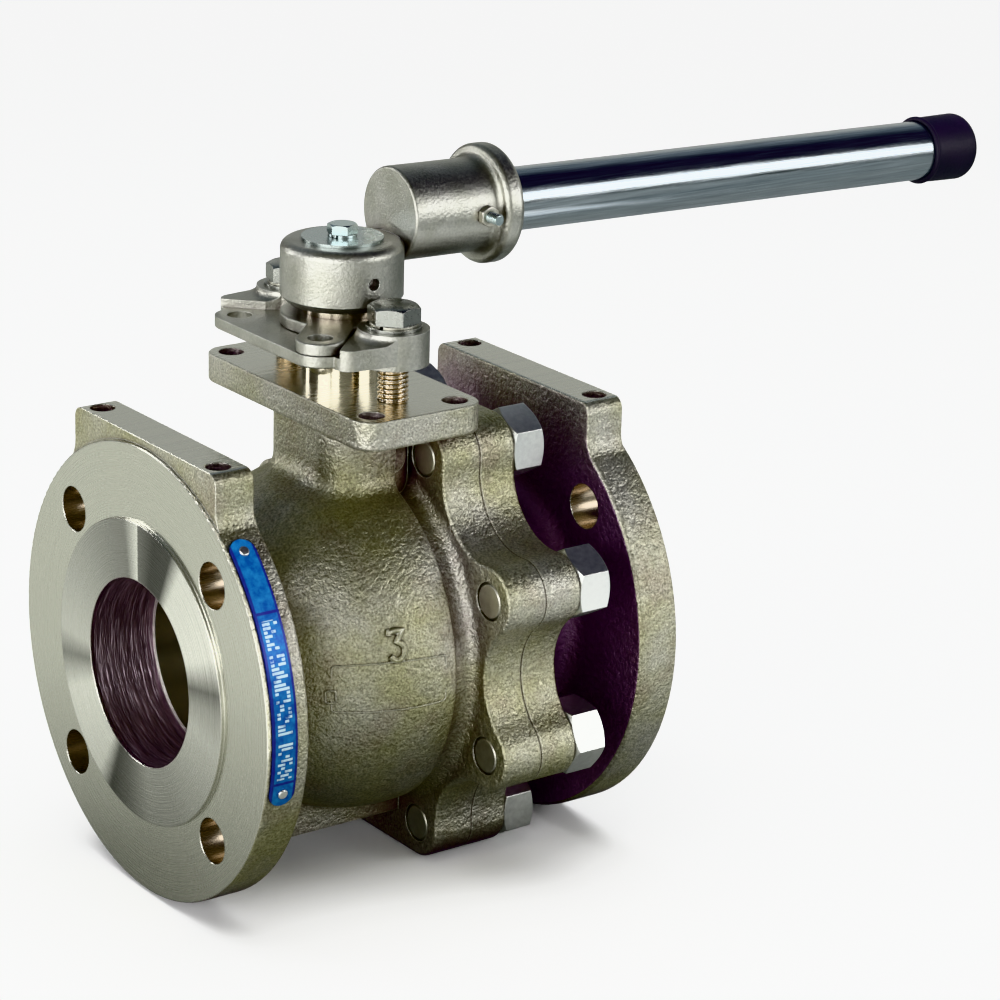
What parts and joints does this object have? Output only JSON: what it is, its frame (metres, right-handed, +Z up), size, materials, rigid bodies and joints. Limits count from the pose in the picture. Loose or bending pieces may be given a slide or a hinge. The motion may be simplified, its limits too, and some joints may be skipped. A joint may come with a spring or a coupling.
{
  "type": "seacock valve",
  "caption": "Flanged split-body ball valve: lever handle turns a full-port ball through a quarter turn to open or shut a pipe, with padlock ears and a top mounting plate.",
  "frame": {"origin": "centre of the ball, where the stem's axis meets the pipe's axis", "axes": "+X along the pipe from the inlet flange to the outlet flange. The open handle points the same way; +Z up the stem; +Y completes a right-handed frame"},
  "size_m": [0.4343, 0.1921, 0.2955],
  "materials": {
    "cast_stainless": "bead-blasted stainless casting, machined faces",
    "cast_hardware": "satin stainless casting",
    "polished_stainless": "polished",
    "bright_nuts": "ground bright",
    "stud_steel": "machined",
    "zinc_plate": "zinc plated, bluish",
    "tube_steel": "drawn bright tube",
    "black_vinyl": "soft matte vinyl",
    "blue_anodised": "blue anodised sheet with plain pale marks",
    "seat_plastic": "fluoropolymer",
    "graphite": "moulded graphite"
  },
  "bodies": {
    "root": {"body_casting": "cast_stainless", "tailpiece": "cast_stainless", "joint_gasket": "graphite", "joint_studs": "stud_steel", "joint_nuts": "bright_nuts", "inlet_seat": "seat_plastic", "outlet_seat": "seat_plastic", "stem_thrust_washer": "seat_plastic", "packing_ring_1": "graphite", "packing_ring_2": "graphite", "packing_ring_3": "graphite", "packing_ring_4": "graphite", "gland_follower": "polished_stainless", "gland_flange": "cast_hardware", "gland_bolts": "stud_steel", "gland_washers": "stud_steel", "gland_lock_washers": "stud_steel", "identification_plate": "blue_anodised", "plate_rivets": "zinc_plate"},
    "handle": {"stem": "polished_stainless", "stop_plate": "cast_hardware", "hub_spacer": "polished_stainless", "handle_hub": "cast_hardware", "hub_washer": "zinc_plate", "hub_lock_washer": "zinc_plate", "hub_screw": "zinc_plate", "hub_set_screw": "stud_steel", "handle_tube": "tube_steel", "tube_set_screw": "stud_steel", "tube_jam_nut": "stud_steel", "grip_cap": "black_vinyl"},
    "ball": {"ball": "polished_stainless"}
  },
  "joints": [
    {"name": "handle_turn", "type": "hinge", "parent": "root", "child": "handle", "pos_m": [0, 0, 0], "axis": [0, 0, 1], "range_deg": [-90, 0]},
    {"name": "ball_turn", "type": "hinge", "parent": "root", "child": "ball", "pos_m": [0, 0, 0], "axis": [0, 0, 1], "range_deg": [-90, 0]}
  ],
  "couplings": [
    {"joint": "ball_turn", "follows": "handle_turn", "ratio": 1}
  ]
}
